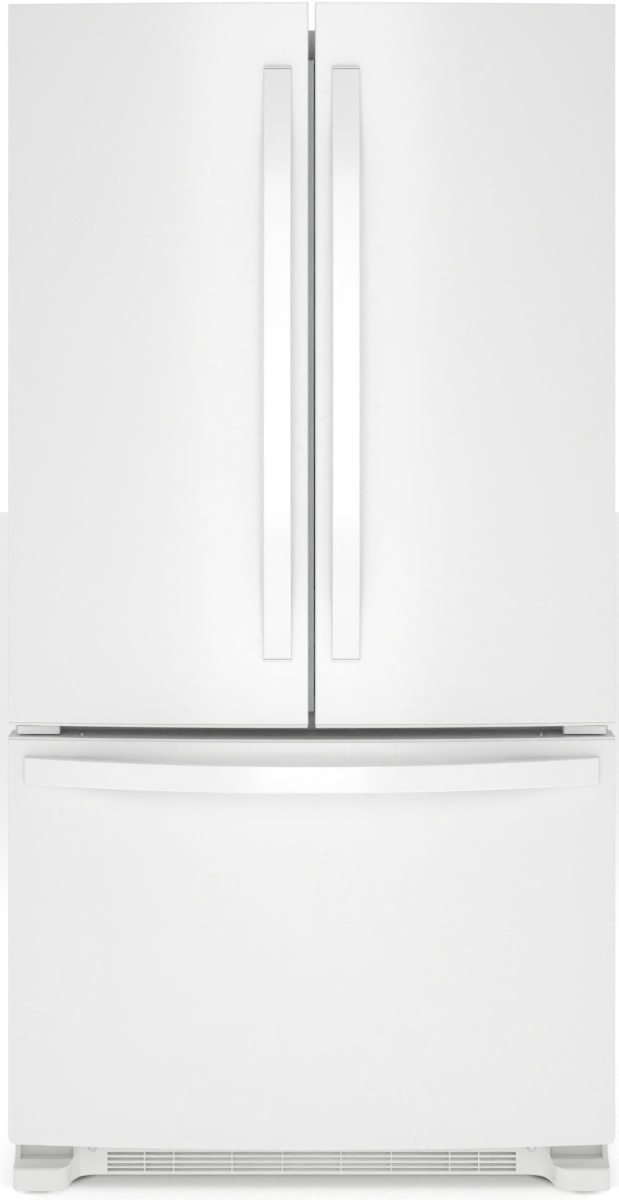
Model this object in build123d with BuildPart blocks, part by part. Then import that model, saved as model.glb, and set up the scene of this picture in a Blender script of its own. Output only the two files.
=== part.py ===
from build123d import *
from math import cos, radians, sin, sqrt
import os

# French-door refrigerator with a pull-out freezer drawer, built as separate pieces.
# All sizes are in millimetres. +Z is up, -Y is the front and +X is to the right of someone facing the doors.
# The origin is on the floor, midway between the sides and midway between the handles and the back panel.

# ---------------------------------------------------------------- driving dimensions
WIDTH = 905.0  # across the doors
DOOR_TOP = 1782.0  # top of the doors, just over the hinge covers
BACK = 447.0  # outer face of the back panel; its screw heads stand 3 further out
HANDLE_FRONT = -450.0  # most forward point of the handles

CABINET_WIDTH = 898.0
CABINET_TOP = 1750.0
CABINET_FRONT = -275.0  # face that the gaskets close on
BOX_BOTTOM = 78.0  # underside of the insulated box
SHEET = 2.0  # steel sheet and liner plastic
CAVITY_HALF = 407.5  # half the inner width of both compartments

FRIDGE_FLOOR = 742.0
FRIDGE_CEILING = 1700.0
FREEZER_FLOOR = 140.0
FREEZER_CEILING = 653.0
CAVITY_BACK = 393.0
FREEZER_STEP_Y = 190.0  # rear wall of the freezer below its step
FREEZER_STEP_Z = 345.0  # floor of the freezer above the machine compartment
MACHINE_FRONT = 225.0
MACHINE_TOP = 315.0

DOOR_GAP = 10.0  # between the two upper doors
DOOR_BOTTOM = 707.5
DRAWER_TOP = 690.5
DRAWER_BOTTOM = 83.0
DOOR_BACK = -287.0  # where the steel skin ends and the inner liner begins
DOOR_EDGE_FRONT = -354.0  # front of the doors at their outer edges
DOOR_BOW = 30.0  # how far the middle of the front stands out past the edges
GASKET_BACK = -275.5  # leaves the closing face by half a millimetre
GASKET_WIDTH = 16.0
DOOR_GASKET_LOW = 716.0
DOOR_GASKET_HIGH = 1722.0
GAP_LIP_Y = -352.0  # front of the lip between the doors
GAP_LIP_Z = (728.0, 1698.0)

HINGE_X = 425.0  # hinge pins, each side
HINGE_Y = -320.0
PIN_RADIUS = 5.0
PIN_CLEARANCE = 0.05

BIN_BACK = -172.0  # how far the door bins reach into the cabinet
SHELF_FRONT = -160.0
RAIL_Z = 410.0  # middle height of the telescopic slides

LEFT, RIGHT = -1, 1
BOW_RADIUS = ((WIDTH / 2) ** 2 + DOOR_BOW**2) / (2 * DOOR_BOW)
BOW_CENTRE = DOOR_EDGE_FRONT - DOOR_BOW + BOW_RADIUS
LINER_BACK = DOOR_BACK + SHEET


# ---------------------------------------------------------------- helpers
def bow(x):
    """Y of the bowed front at a distance x from the middle."""
    return BOW_CENTRE - sqrt(BOW_RADIUS**2 - x**2)


def block(x, y, z, mode=Mode.ADD):
    """A box between the low and high values given for each axis."""
    with Locations(((x[0] + x[1]) / 2, (y[0] + y[1]) / 2, (z[0] + z[1]) / 2)):
        Box(x[1] - x[0], y[1] - y[0], z[1] - z[0], mode=mode)


def rod(start, along, length, radius, mode=Mode.ADD):
    """A cylinder that begins at a point and runs along a direction."""
    with Locations(Plane(origin=start, z_dir=along)):
        Cylinder(radius, length, align=(Align.CENTER, Align.CENTER, Align.MIN), mode=mode)


def tray(x, y, z, wall, corner):
    """An open-topped box with rounded upright corners."""
    with BuildPart() as box:
        block(x, y, z)
        fillet(box.edges().filter_by(Axis.Z), corner)
        with BuildSketch(Plane.XY.offset(z[0] + wall)):
            with Locations(((x[0] + x[1]) / 2, (y[0] + y[1]) / 2)):
                RectangleRounded(x[1] - x[0] - 2 * wall, y[1] - y[0] - 2 * wall, corner - wall)
        extrude(amount=z[1] - z[0], mode=Mode.SUBTRACT)
    return box.part


def rounded_back(x, y, z, corner):
    """A box whose two upright rear edges are rounded."""
    with BuildPart() as box:
        block(x, y, z)
        fillet(box.edges().filter_by(Axis.Z).group_by(Axis.Y)[-1], corner)
    return box.part


def rounded_dam(x, y, z, corner):
    """A raised box whose face towards the cabinet has rounded edges."""
    with BuildPart() as box:
        block(x, y, z)
        fillet(box.faces().sort_by(Axis.Y)[-1].edges(), corner)
    return box.part


def both(low, high):
    """The x range of a feature on the left and of its mirror image on the right."""
    return ((-high, -low), (low, high))


def mirrored(piece):
    """The same piece for the other side of the refrigerator."""
    return mirror(piece, about=Plane.YZ)


def save(piece, name):
    """Labels a finished piece and writes its STEP file."""
    piece.label = name
    export_step(piece, f"parts/{name}.step")


def bowed_slab(x, z, inset, low_corner=0, back=DOOR_BACK):
    """A door-shaped slab with the bowed front, set in on its front, sides, top and bottom."""
    left, right = x[0] + inset, x[1] - inset
    middle = (left + right) / 2
    left_y, middle_y, right_y = bow(left) + inset, bow(middle) + inset, bow(right) + inset
    with BuildPart() as slab:
        with BuildSketch(Plane.XY.offset(z[0] + inset)):
            with BuildLine():
                ThreePointArc((left, left_y), (middle, middle_y), (right, right_y))
                Polyline((right, right_y), (right, back), (left, back), (left, left_y))
            make_face()
        extrude(amount=z[1] - z[0] - 2 * inset)
        if low_corner:
            fillet(slab.edges().filter_by(Axis.Y).group_by(Axis.Z)[0], low_corner)
    return slab.part


def front_edges(part):
    """The edges round the bowed front of a door or drawer."""
    return part.faces().sort_by(Axis.Y)[0].edges()


# ---------------------------------------------------------------- cabinet
def cabinet_shell():
    """Painted steel wrap of two sides and a top, folded in round the two front openings."""
    half = CABINET_WIDTH / 2
    with BuildPart() as shell:
        block((-half, half), (CABINET_FRONT, BACK - SHEET), (30, CABINET_TOP))
        block(
            (-half + SHEET, half - SHEET),
            (CABINET_FRONT + SHEET, BACK),
            (29, CABINET_TOP - SHEET),
            Mode.SUBTRACT,
        )
        opening = CAVITY_HALF + SHEET
        block(
            (-opening, opening),
            (CABINET_FRONT - 1, CABINET_FRONT + SHEET + 1),
            (FREEZER_FLOOR - SHEET, FRIDGE_CEILING + SHEET),
            Mode.SUBTRACT,
        )
        block((-430, 430), (CABINET_FRONT - 1, CABINET_FRONT + SHEET + 1), (29, BOX_BOTTOM), Mode.SUBTRACT)
        rail_z = (FREEZER_CEILING + SHEET, FRIDGE_FLOOR - SHEET)
        block((-opening, opening), (CABINET_FRONT, CABINET_FRONT + SHEET), rail_z)
    save(shell.part, "cabinet_shell")


def freezer_profile(inset, front):
    """Side outline of the freezer compartment, with its step over the machine compartment."""
    with BuildSketch(Plane.YZ) as outline:
        with BuildLine():
            Polyline(
                (front, FREEZER_FLOOR - inset),
                (FREEZER_STEP_Y + inset, FREEZER_FLOOR - inset),
                (FREEZER_STEP_Y + inset, FREEZER_STEP_Z - inset),
                (CAVITY_BACK + inset, FREEZER_STEP_Z - inset),
                (CAVITY_BACK + inset, FREEZER_CEILING + inset),
                (front, FREEZER_CEILING + inset),
                close=True,
            )
        make_face()
    return outline.sketch


def cabinet_foam():
    """Rigid foam between the steel wrap and the two liners."""
    half = CABINET_WIDTH / 2 - SHEET
    opening = CAVITY_HALF + SHEET
    with BuildPart() as foam:
        block((-half, half), (CABINET_FRONT + SHEET, BACK - SHEET), (BOX_BOTTOM, CABINET_TOP - SHEET))
        block(
            (-opening, opening),
            (CABINET_FRONT, CAVITY_BACK + SHEET),
            (FRIDGE_FLOOR - SHEET, FRIDGE_CEILING + SHEET),
            Mode.SUBTRACT,
        )
        extrude(freezer_profile(SHEET, CABINET_FRONT), amount=opening, both=True, mode=Mode.SUBTRACT)
        block((-half, half), (MACHINE_FRONT, BACK), (BOX_BOTTOM - 1, MACHINE_TOP), Mode.SUBTRACT)
    save(foam.part, "cabinet_foam")


def fridge_liner():
    """White moulded liner of the fresh-food compartment, with the ledges that carry the drawer covers."""
    with BuildPart() as liner:
        outer, inner = CAVITY_HALF + SHEET, CAVITY_HALF
        outer_y, inner_y = (CABINET_FRONT, CAVITY_BACK + SHEET), (CABINET_FRONT - 1, CAVITY_BACK)
        outer_z = (FRIDGE_FLOOR - SHEET, FRIDGE_CEILING + SHEET)
        add(rounded_back((-outer, outer), outer_y, outer_z, 22 + SHEET))
        hollow = rounded_back((-inner, inner), inner_y, (FRIDGE_FLOOR, FRIDGE_CEILING), 22)
        add(hollow, mode=Mode.SUBTRACT)
        for ledge_top in (PANTRY_COVER_Z, CRISPER_COVER_Z):
            for side in both(396, CAVITY_HALF):
                block(side, (-150, 330), (ledge_top - 6, ledge_top))
    save(liner.part, "fridge_liner")


def freezer_liner():
    """White moulded liner of the freezer, stepped over the compressor, with runners for the upper basket."""
    with BuildPart() as liner:
        extrude(freezer_profile(SHEET, CABINET_FRONT), amount=CAVITY_HALF + SHEET, both=True)
        hollow = freezer_profile(0, CABINET_FRONT - 1)
        extrude(hollow, amount=CAVITY_HALF, both=True, mode=Mode.SUBTRACT)
        for side in both(396, CAVITY_HALF):
            block(side, (-230, FREEZER_STEP_Y), (UPPER_BASKET_LEDGE - 6, UPPER_BASKET_LEDGE))
    save(liner.part, "freezer_liner")


def back_panel():
    """Flat steel sheet behind the insulated box, with two stiffening beads."""
    half = CABINET_WIDTH / 2
    with BuildPart() as panel:
        block((-half, half), (BACK - SHEET, BACK), (MACHINE_TOP, CABINET_TOP))
        for height in (760, 1240):
            block((-380, 380), (BACK - 0.8, BACK), (height, height + 30), Mode.SUBTRACT)
    save(panel.part, "back_panel")


def machine_cover():
    """Louvred steel cover over the machine compartment, with the hole for the mains lead."""
    half = CABINET_WIDTH / 2
    with BuildPart() as cover:
        block((-half, half), (BACK - SHEET, BACK), (34, MACHINE_TOP - 1))
        with BuildSketch(Plane.XZ.offset(-BACK)):
            with Locations((-235, 160), (60, 160)):
                with GridLocations(46, 24, 6, 7):
                    SlotOverall(36, 7)
            with Locations((340, 75)):
                Circle(MAINS_HOLE_RADIUS)
        extrude(amount=SHEET, mode=Mode.SUBTRACT)
    save(cover.part, "machine_cover")


# ---------------------------------------------------------------- base
PAN_TOP = 39.0
PAN_BOTTOM = 36.0
ROLLER_X = 412.0
FRONT_ROLLER = (-205.0, 24.0, 20.0)  # y and z of the axle, and the radius: it clears the floor by 4
REAR_ROLLER = (412.0, 22.0, 22.0)
ROLLER_WIDTH = 16.0
AXLE_RADIUS = 4.0
LEG_X, LEG_Y = 395.0, -256.0
MAINS_HOLE_RADIUS = 11.0


def base_pan():
    """Pressed steel chassis: machine floor, two side rails, a front bar and the ears and axles of the rollers."""
    with BuildPart() as pan:
        block((-447, 447), (MACHINE_FRONT - 10, BACK - SHEET), (PAN_BOTTOM, PAN_TOP))
        block((-447, 447), (-272, -240), (PAN_BOTTOM, PAN_TOP))
        block((-447, 447), (-272, -269), (PAN_BOTTOM, BOX_BOTTOM))
        block((-445, 445), (MACHINE_FRONT - 10, MACHINE_FRONT - 8), (PAN_BOTTOM, BOX_BOTTOM))
        for rail in both(382, 447):
            block(rail, (-272, MACHINE_FRONT - 10), (PAN_BOTTOM, PAN_TOP))
        for web in both(382, 385):
            block(web, (-272, MACHINE_FRONT - 8), (PAN_TOP, BOX_BOTTOM))
        for y, z, radius in (FRONT_ROLLER, REAR_ROLLER):
            for centre in (-ROLLER_X, ROLLER_X):
                well = ((centre - 10, centre + 10), (y - radius - 2, y + radius + 2))
                block(*well, (PAN_BOTTOM - 1, PAN_TOP + 1), Mode.SUBTRACT)
                for offset in (-ROLLER_WIDTH / 2 - 5, ROLLER_WIDTH / 2 + 2):
                    block((centre + offset, centre + offset + 3), (y - 12, y + 12), (z - 9, PAN_TOP))
                rod((centre - 14, y, z), (1, 0, 0), 28, AXLE_RADIUS)
        for x in (-LEG_X, LEG_X):
            rod((x, LEG_Y, PAN_BOTTOM - 1), (0, 0, 1), 5, 5.3, Mode.SUBTRACT)
    save(pan.part, "base_pan")


def roller(axle, name):
    """A grooved plastic transport roller on its axle, and its twin on the other side."""
    y, z, radius = axle
    with BuildPart() as wheel:
        rod((-ROLLER_X - ROLLER_WIDTH / 2, y, z), (1, 0, 0), ROLLER_WIDTH, radius)
        chamfer(wheel.edges().filter_by(GeomType.CIRCLE), 1.5)
        with BuildSketch(Plane.YZ.offset(-ROLLER_X - 1.5)):
            with Locations((y, z)):
                Circle(radius)
                Circle(radius - 1.5, mode=Mode.SUBTRACT)
        extrude(amount=3, mode=Mode.SUBTRACT)
        rod((-ROLLER_X - 9, y, z), (1, 0, 0), 18, AXLE_RADIUS + PIN_CLEARANCE, Mode.SUBTRACT)
    save(wheel.part, f"{name}_left")
    save(mirrored(wheel.part), f"{name}_right")


def leveling_leg():
    """Threaded front foot: a hexagon-headed stem on a round pad."""
    with BuildPart() as leg:
        rod((-LEG_X, LEG_Y, 0), (0, 0, 1), 7, 17)
        fillet(leg.edges().filter_by(GeomType.CIRCLE).group_by(Axis.Z)[-1], 2.5)
        with BuildSketch(Plane.XY.offset(7)):
            with Locations((-LEG_X, LEG_Y)):
                RegularPolygon(9, 6)
        extrude(amount=8)
        rod((-LEG_X, LEG_Y, 15), (0, 0, 1), 55, PIN_RADIUS)
    save(leg.part, "leveling_leg_left")
    save(mirrored(leg.part), "leveling_leg_right")


# ---------------------------------------------------------------- base grille
GRILLE_FRONT = -300.0
GRILLE_WALL = 3.0
GRILLE_TOP = 78.0
GRILLE_BOTTOM = 22.0
FOOT_FRONT = -346.0
FOOT_OUTER = 446.0
FOOT_INNER = 375.0  # where the block of the foot cover ends
FOOT_BOTTOM = 11.0
TOE_TOP = 45.0  # top of the block at the front of the foot cover
SCOOP_BACK = -291.5
SLOT_HALF = 309.0  # half the width of the slotted field
SLOT_ROWS = (27.8, 35.2, 43.8, 52.0)
SLOT_HEIGHT = 4.4
GRILLE_RIBS = (44.0, 120.0, 208.0, 252.0)


def foot_body(wall):
    """The left foot cover as three outlines, of its side, its front and its plan, that all bound it."""
    low, top = FOOT_BOTTOM + wall, GRILLE_TOP - wall
    outer, inner, neck = -FOOT_OUTER + wall, -FOOT_INNER - wall, -318.0 - wall
    front, flat = FOOT_FRONT + wall, GRILLE_FRONT + wall
    back = -288.0 if wall == 0 else -287.0
    neck_z, toe = GRILLE_BOTTOM + wall, TOE_TOP - wall
    with BuildPart() as body:
        with BuildSketch(Plane.YZ.offset(outer)):
            with BuildLine():
                Polyline((back, top), (back, low), (front, low), (front, toe - 5))
                ThreePointArc((front, toe - 5), (front + 1.5, toe - 1.5), (front + 5, toe))
                Line((front + 5, toe), (front + 14, toe))
                ThreePointArc((front + 14, toe), (front + 38, toe + 12), (flat, top))
                Line((flat, top), (back, top))
            make_face()
        extrude(amount=neck - outer)
        with BuildSketch(Plane.XZ):
            with BuildLine():
                Polyline((neck, top), (outer, top), (outer, low + 5))
                ThreePointArc((outer, low + 5), (outer + 1.5, low + 1.5), (outer + 5, low))
                Line((outer + 5, low), (inner, low))
                ThreePointArc((inner, low), (inner + 9, low + 2), (inner + 16, low + 6))
                ThreePointArc((inner + 16, low + 6), (inner + 32, low + 9.5), (neck, neck_z))
                Line((neck, neck_z), (neck, top))
            make_face()
        extrude(amount=400, both=True, mode=Mode.INTERSECT)
        with BuildSketch(Plane.XY):
            with BuildLine():
                Polyline((neck, back), (outer, back), (outer, front + 8))
                ThreePointArc((outer, front + 8), (outer + 2.3, front + 2.3), (outer + 8, front))
                Line((outer + 8, front), (inner - 4, front))
                ThreePointArc((inner - 4, front), (inner + 6, front + 6), (inner + 12, front + 20))
                ThreePointArc((inner + 12, front + 20), (inner + 18, front + 36), (inner + 26, flat))
                Polyline((inner + 26, flat), (neck, flat), (neck, back))
            make_face()
        extrude(amount=200, mode=Mode.INTERSECT)
        scoop_x = (-FOOT_OUTER + 8 - wall, -FOOT_INNER + 16 + wall)
        block(scoop_x, (FOOT_FRONT, SCOOP_BACK + wall), (TOE_TOP + 5 - wall, GRILLE_TOP + 1), Mode.SUBTRACT)
    return body.part


def base_grille():
    """White moulded toe grille: a louvred middle between two hollow foot covers."""
    with BuildPart() as grille:
        add(foot_body(0))
        add(foot_body(GRILLE_WALL), mode=Mode.SUBTRACT)
        mirror(about=Plane.YZ)
        block((-318, 318), (GRILLE_FRONT, GRILLE_FRONT + GRILLE_WALL), (GRILLE_BOTTOM, GRILLE_TOP))
        block(
            (-SLOT_HALF - 4, SLOT_HALF + 4),
            (GRILLE_FRONT, GRILLE_FRONT + 10),
            (SLOT_ROWS[0] - 5, SLOT_ROWS[-1] + 5),
        )
        edges = [-SLOT_HALF, *[-rib for rib in reversed(GRILLE_RIBS)], *GRILLE_RIBS, SLOT_HALF]
        for low, high in zip(edges, edges[1:]):
            for height in SLOT_ROWS:
                with Locations(Location(((low + high) / 2, GRILLE_FRONT + 5, height), (-18, 0, 0))):
                    Box(high - low - 2, 16, SLOT_HEIGHT, mode=Mode.SUBTRACT)
        for clip in (-330, -150, 150, 330):
            block((clip - 8, clip + 8), (GRILLE_FRONT + 2, -272), (70, 74))
    save(grille.part, "base_grille")


# ---------------------------------------------------------------- hinges and fasteners
CENTRE_HINGE_Z = (693.0, 705.0)
HINGE_ARM_TOP = 1755.0


def door_hinges():
    """Steel top plates with their pins, and the white centre brackets that carry both doors."""
    with BuildPart() as hinges:
        block((-445, -362), (-266, -190), (CABINET_TOP, HINGE_ARM_TOP))
        block((-HINGE_X - 11, -HINGE_X + 11), (HINGE_Y, -266), (CABINET_TOP, HINGE_ARM_TOP))
        rod((-HINGE_X, HINGE_Y, CABINET_TOP), (0, 0, 1), HINGE_ARM_TOP - CABINET_TOP, 11)
        rod((-HINGE_X, HINGE_Y, 1712), (0, 0, 1), CABINET_TOP - 1712, PIN_RADIUS)
        low, high = CENTRE_HINGE_Z
        block((-446, -376), (-278, CABINET_FRONT), (684, high))
        block((-440, -376), (-344, -278), (low, high))
        fillet(hinges.edges().filter_by(Axis.Z).group_by(Axis.Y)[0], 3)
        rod((-HINGE_X, HINGE_Y, high), (0, 0, 1), 2.5, 9)
        rod((-HINGE_X, HINGE_Y, high), (0, 0, 1), 34, PIN_RADIUS)
        mirror(about=Plane.YZ)
    save(hinges.part, "door_hinges")


def hinge_covers():
    """Plastic caps over the top hinges, open at the front where the arm comes out."""
    with BuildPart() as covers:
        block((-448, -348), (-272, -168), (CABINET_TOP, 1777))
        fillet(covers.edges().filter_by(Axis.Z), 8)
        fillet(covers.faces().sort_by(Axis.Z)[-1].edges(), 4)
        block((-445.5, -351), (-269, -171), (CABINET_TOP - 1, 1774), Mode.SUBTRACT)
        block((-438, -412), (-273, -268), (CABINET_TOP - 1, 1762), Mode.SUBTRACT)
        mirror(about=Plane.YZ)
    save(covers.part, "hinge_covers")


def screw_head(at, along, radius, height):
    """A domed screw head that stands on a face."""
    with BuildPart() as head:
        rod(at, along, height, radius)
        rim_edge = head.edges().filter_by(GeomType.CIRCLE).sort_by(Axis(at, along))[-1]
        fillet(rim_edge, height * 0.8)
    return head.part


def fasteners():
    """Screws that show or hold the hinges, the grille and the rear cover, as heads on their faces."""
    with BuildPart() as screws:
        add(screw_head((-331, GRILLE_FRONT, 63), (0, -1, 0), 7, 5))
        for y in (-250, -206):
            add(screw_head((-385, y, HINGE_ARM_TOP), (0, 0, 1), 6.5, 5))
        for x in (-436, -200):
            add(screw_head((x, BACK, 290), (0, 1, 0), 5, 3))
        mirror(about=Plane.YZ)
    save(screws.part, "fasteners")


# ---------------------------------------------------------------- upper doors
LEFT_DOOR_X = (-WIDTH / 2, -DOOR_GAP / 2)
DOOR_Z = (DOOR_BOTTOM, DOOR_TOP)
HINGE_POCKET = ((-WIDTH / 2 - 1, -385.0), (-350.0, -280.0), (1744.0, DOOR_TOP + 1))
DAM_X = (-396.0, -40.0)
DAM_Z = (750.0, 1690.0)
DAM_BACK = -242.0
DAM_WIDTH = 22.0


def door_skin():
    """Painted steel front and sides of an upper door, with a pocket for the top hinge arm."""
    with BuildPart() as skin:
        add(bowed_slab(LEFT_DOOR_X, DOOR_Z, 0))
        fillet(front_edges(skin), 4)
        add(bowed_slab(LEFT_DOOR_X, DOOR_Z, SHEET), mode=Mode.SUBTRACT)
        block(*HINGE_POCKET, mode=Mode.SUBTRACT)
        rod((-HINGE_X, HINGE_Y, DOOR_BOTTOM - 1), (0, 0, 1), 4, PIN_RADIUS + PIN_CLEARANCE, Mode.SUBTRACT)
    save(skin.part, "door_left_skin")
    save(mirrored(skin.part), "door_right_skin")


def door_core():
    """Rigid foam core of an upper door, with the moulded-in sockets that turn on the hinge pins."""
    socket = PIN_RADIUS + PIN_CLEARANCE
    with BuildPart() as core:
        add(bowed_slab(LEFT_DOOR_X, DOOR_Z, SHEET))
        chamfer(front_edges(core), 3.5)
        block(*HINGE_POCKET, mode=Mode.SUBTRACT)
        rod((-HINGE_X, HINGE_Y, 1705), (0, 0, 1), 50, socket, Mode.SUBTRACT)
        rod((-HINGE_X, HINGE_Y, DOOR_BOTTOM), (0, 0, 1), 36, socket, Mode.SUBTRACT)
    save(core.part, "door_left_core")
    save(mirrored(core.part), "door_right_core")


def door_liner(name, side):
    """Inner door panel with the raised dams that the bins hang between. The left one carries the mullion bar."""
    with BuildPart() as liner:
        block(LEFT_DOOR_X, (DOOR_BACK, LINER_BACK), DOOR_Z)
        block(*HINGE_POCKET, mode=Mode.SUBTRACT)
        add(rounded_dam(DAM_X, (LINER_BACK, DAM_BACK), DAM_Z, 7))
        block(
            (DAM_X[0] + DAM_WIDTH, DAM_X[1] - DAM_WIDTH),
            (LINER_BACK, DAM_BACK + 1),
            (DAM_Z[0] + 14, DAM_Z[1] - DAM_WIDTH),
            Mode.SUBTRACT,
        )
        if side == LEFT:
            x, y = MULLION_PIVOT
            for z, pin_z in (
                (MULLION_Z[1] + 2, MULLION_Z[1] - 10),
                (MULLION_Z[0] - 8, MULLION_Z[0] - 2),
            ):
                block((DAM_X[1] - 2, x), (y - 8, y + 8), (z, z + 6))
                rod((x, y, z), (0, 0, 1), 6, 8)
                rod((x, y, pin_z), (0, 0, 1), 12, MULLION_PIN)
    save(liner.part if side == LEFT else mirrored(liner.part), name)


def gasket(x, z):
    """Magnetic gasket: a flat foot on the liner under a narrower bellows that meets the cabinet."""
    with BuildPart() as seal:
        for inset, width, low, high in ((0, GASKET_WIDTH, 0, 4), (2.5, GASKET_WIDTH - 5, 4, 9.5)):
            y = (LINER_BACK + low, LINER_BACK + high)
            block((x[0] + inset, x[1] - inset), y, (z[0] + inset, z[1] - inset))
            reach = inset + width
            block((x[0] + reach, x[1] - reach), y, (z[0] + reach, z[1] - reach), Mode.SUBTRACT)
    return seal.part


def door_gaskets():
    """Both upper gaskets; the left door also carries the beaded lip that closes the gap between the doors."""
    seal = gasket((-HINGE_X + 1, -DOOR_GAP / 2 - 1), (DOOR_GASKET_LOW, DOOR_GASKET_HIGH))
    save(mirrored(seal), "door_right_gasket")
    with BuildPart() as left:
        add(seal)
        x, z = (-DOOR_GAP / 2, DOOR_GAP / 2 - 2), (GAP_LIP_Z[0], GAP_LIP_Z[1])
        block(x, (GAP_LIP_Y, GAP_LIP_Y + 2.5), z)
        rod((-1, GAP_LIP_Y + 1, z[0]), (0, 0, 1), z[1] - z[0], 1.8)
    save(left.part, "door_left_gasket")


def door_bins():
    """Clear moulded bins: three on the left door, and two and a dairy box on the right."""
    x = (DAM_X[0] + DAM_WIDTH, DAM_X[1] - DAM_WIDTH)
    for name, heights, side in (
        ("door_left_bins", ((768, 878), (1050, 1145), (1330, 1425)), LEFT),
        ("door_right_bins", ((768, 878), (1090, 1185), DAIRY_Z), RIGHT),
    ):
        with BuildPart() as bins:
            for z in heights:
                add(tray(x, (LINER_BACK, BIN_BACK), z, 3, 5))
        save(bins.part if side == LEFT else mirrored(bins.part), name)


DAIRY_Z = (1430.0, 1530.0)
DAIRY_PIVOT = (-280.0, 1535.0)


def dairy_lid():
    """Flip-up lid of the dairy box, turning on two stub pins at its door side."""
    y, z = DAIRY_PIVOT
    with BuildPart() as lid:
        block((66, 370), (y, -168), (z - 1.5, z + 1.5))
        block((66, 370), (-171, -168), (z - 22, z + 1.5))
        fillet(lid.edges().filter_by(Axis.X).sort_by(Axis.Y)[-1], 1)
        rod((64, y, z), (1, 0, 0), 308, 3)
    save(lid.part, "dairy_lid")


# ---------------------------------------------------------------- mullion bar between the doors
MULLION_PIVOT = (-10.0, -264.5)
MULLION_Z = (760.0, 1680.0)
MULLION_PIN = 3.0
MULLION_FOLD = 105.0  # degrees from spanning the gap to lying along the left door's edge
MULLION_LENGTH = 42.0
MULLION_HALF = 10.0


def mullion_bar():
    """Folding bar on the left door, drawn folded: it turns out to close the gap behind both gaskets."""
    angle = radians(MULLION_FOLD)
    folded = Plane(
        origin=(*MULLION_PIVOT, MULLION_Z[0]), x_dir=(cos(angle), sin(angle), 0), z_dir=(0, 0, 1)
    )
    with BuildPart() as bar:
        with BuildSketch(folded):
            with Locations((MULLION_LENGTH / 2, 0)):
                Rectangle(MULLION_LENGTH, 2 * MULLION_HALF)
            Circle(MULLION_HALF)
        extrude(amount=MULLION_Z[1] - MULLION_Z[0])
        for z in (MULLION_Z[0] - 1, MULLION_Z[1] - 13):
            rod((*MULLION_PIVOT, z), (0, 0, 1), 14, MULLION_PIN + PIN_CLEARANCE, Mode.SUBTRACT)
    save(bar.part, "mullion_bar")


# ---------------------------------------------------------------- handles
UPRIGHT_HANDLE_X = (-71.0, -30.0)
UPRIGHT_HANDLE_Z = (806.0, 1687.0)
DRAWER_HANDLE_HALF = 428.0
DRAWER_HANDLE_Z = (621.5, 661.5)
HANDLE_THICKNESS = 16.0
HANDLE_FOOT = 62.0  # length of each end that sits on the door
HANDLE_END = 9.0  # how far each end stands off the door


def bowed_bar(plane, low, high, end_y, door_y):
    """Side outline of a handle, drawn along and across its length: bowed, with a flat foot at each end."""
    middle = (low + high) / 2
    back = HANDLE_FRONT + HANDLE_THICKNESS
    with BuildSketch(plane) as outline:
        with BuildLine():
            ThreePointArc((low, end_y), (middle, HANDLE_FRONT), (high, end_y))
            Polyline((high, end_y), (high, door_y), (high - HANDLE_FOOT, door_y))
            ThreePointArc((high - HANDLE_FOOT, door_y), (middle, back), (low + HANDLE_FOOT, door_y))
            Polyline((low + HANDLE_FOOT, door_y), (low, door_y), (low, end_y))
        make_face()
    return outline.sketch


def door_handles():
    """Long bowed bars, painted white, whose ends lie on the bowed door fronts."""
    x, z = UPRIGHT_HANDLE_X, UPRIGHT_HANDLE_Z
    up_the_door = Plane(origin=(x[1], 0, 0), x_dir=(0, 0, 1), z_dir=(-1, 0, 0))
    end_y = bow(x[1]) - HANDLE_END
    with BuildPart() as upright:
        extrude(bowed_bar(up_the_door, z[0], z[1], end_y, -380), amount=x[1] - x[0])
        fillet(front_edges(upright), 2.5)
        add(bowed_slab(LEFT_DOOR_X, DOOR_Z, 0), mode=Mode.SUBTRACT)
    save(upright.part, "door_left_handle")
    save(mirrored(upright.part), "door_right_handle")


def drawer_handle():
    """The same bar laid across the drawer front."""
    half, z = DRAWER_HANDLE_HALF, DRAWER_HANDLE_Z
    end_y = bow(half) - HANDLE_END
    with BuildPart() as handle:
        outline = bowed_bar(Plane.XY.offset(z[0]), -half, half, end_y, bow(half - HANDLE_FOOT) + 2)
        extrude(outline, amount=z[1] - z[0])
        fillet(front_edges(handle), 2.5)
        add(bowed_slab(DRAWER_X, DRAWER_Z, 0), mode=Mode.SUBTRACT)
    save(handle.part, "drawer_handle")


# ---------------------------------------------------------------- freezer drawer
DRAWER_X = (-WIDTH / 2, WIDTH / 2)
DRAWER_Z = (DRAWER_BOTTOM, DRAWER_TOP)
DRAWER_DAM = ((-372.0, 372.0), (150.0, 640.0))
CAP_SCREW = (343.0, -338.0)
CAP_SCREW_RADIUS = 5.0
CAP_SCREW_HEIGHT = 4.0


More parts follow.
